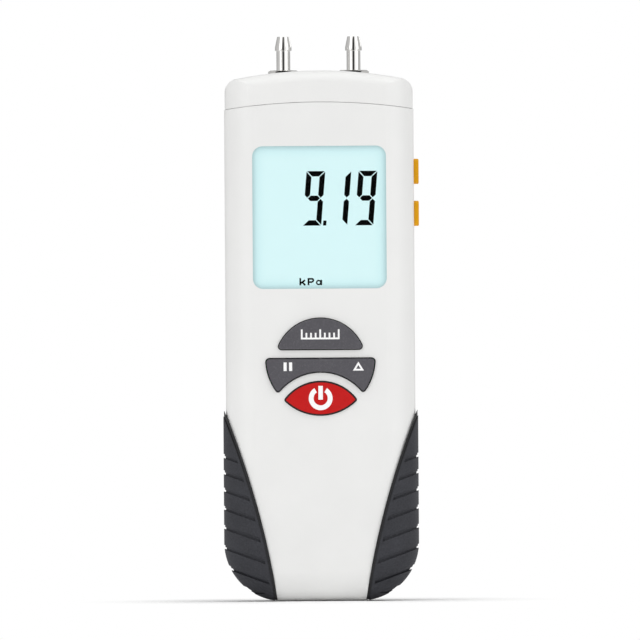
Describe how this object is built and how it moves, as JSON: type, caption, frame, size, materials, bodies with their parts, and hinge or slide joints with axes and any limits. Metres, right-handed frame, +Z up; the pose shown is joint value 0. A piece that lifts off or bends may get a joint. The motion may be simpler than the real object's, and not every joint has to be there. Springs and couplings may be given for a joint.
{
  "type": "digital manometer",
  "caption": "Hand-held digital pressure meter with a lit display, front and side keys, rubber corner grips, two hose barbs on top and a battery door in the back.",
  "frame": {"origin": "middle of the footprint, on the surface the meter stands on", "axes": "+Z up the meter's length towards the two hose ports, +Y out of the back, so the display and the front keys face -Y, and +X to the right of the display, the side that holds the two side keys"},
  "size_m": [0.0572, 0.0326, 0.164],
  "materials": {
    "shell": "satin",
    "grip_rubber": "matte",
    "clear_window": "clear polished",
    "lit_display": "polished",
    "display_ink": "matte",
    "black_plastic": "satin",
    "milky_plastic": "satin",
    "contact_rubber": "matte",
    "circuit_board": "satin",
    "steel": "brushed",
    "silicone": "satin",
    "grey_key": "satin",
    "red_key": "satin",
    "yellow_key": "satin",
    "nickel_plate": "bright nickel",
    "seal_rubber": "matte",
    "foam": "matte",
    "cell_jacket": "satin film",
    "red_wire": "satin",
    "black_wire": "satin"
  },
  "bodies": {
    "housing": {"front_housing": "shell", "rear_housing": "shell", "top_cap": "shell", "left_grip": "grip_rubber", "right_grip": "grip_rubber", "display_lens": "clear_window", "lcd_frame": "black_plastic", "lcd_glass": "lit_display", "lcd_segments": "display_ink", "backlight": "milky_plastic", "zebra_strip": "contact_rubber", "main_board": "circuit_board", "board_chips": "black_plastic", "buzzer": "black_plastic", "board_screws": "steel", "key_mat": "silicone", "rocker_pin": "steel", "side_switches": "black_plastic", "pressure_sensor": "milky_plastic", "left_hose": "silicone", "right_hose": "silicone", "left_port": "nickel_plate", "right_port": "nickel_plate", "port_nuts": "nickel_plate", "port_seals": "seal_rubber", "housing_screws": "steel", "battery_cells": "cell_jacket", "battery_springs": "steel", "battery_contacts": "nickel_plate", "red_lead": "red_wire", "black_lead": "black_wire"},
    "units_key": {"units_key": "grey_key"},
    "hold_dif_key": {"hold_dif_key": "grey_key"},
    "power_key": {"power_key": "red_key"},
    "side_key_upper": {"side_key_upper": "yellow_key", "upper_plunger": "milky_plastic"},
    "side_key_lower": {"side_key_lower": "yellow_key", "lower_plunger": "milky_plastic"},
    "battery_door": {"battery_door": "shell", "battery_latch": "shell", "door_pad": "foam"}
  },
  "joints": [
    {"name": "units_press", "type": "slide", "parent": "housing", "child": "units_key", "axis": [0, 1, 0], "range_m": [0, 0.0008], "stiffness_N_per_m": 800, "deforming": ["key_mat"]},
    {"name": "hold_dif_rock", "type": "hinge", "parent": "housing", "child": "hold_dif_key", "pos_m": [0, -0.011, 0.0687], "axis": [0, 0, 1], "range_deg": [-2.5, 2.5], "stiffness_Nm_per_rad": 0.25, "deforming": ["key_mat"]},
    {"name": "power_press", "type": "slide", "parent": "housing", "child": "power_key", "axis": [0, 1, 0], "range_m": [0, 0.0008], "stiffness_N_per_m": 800, "deforming": ["key_mat"]},
    {"name": "side_upper_press", "type": "slide", "parent": "housing", "child": "side_key_upper", "axis": [-1, 0, 0], "range_m": [0, 0.0005], "stiffness_N_per_m": 1500},
    {"name": "side_lower_press", "type": "slide", "parent": "housing", "child": "side_key_lower", "axis": [-1, 0, 0], "range_m": [0, 0.0005], "stiffness_N_per_m": 1500},
    {"name": "battery_door_hinge", "type": "hinge", "parent": "housing", "child": "battery_door", "pos_m": [0, 0.0155, 0.0095], "axis": [-1, 0, 0], "range_deg": [0, 40], "deforming": ["battery_latch"]}
  ]
}
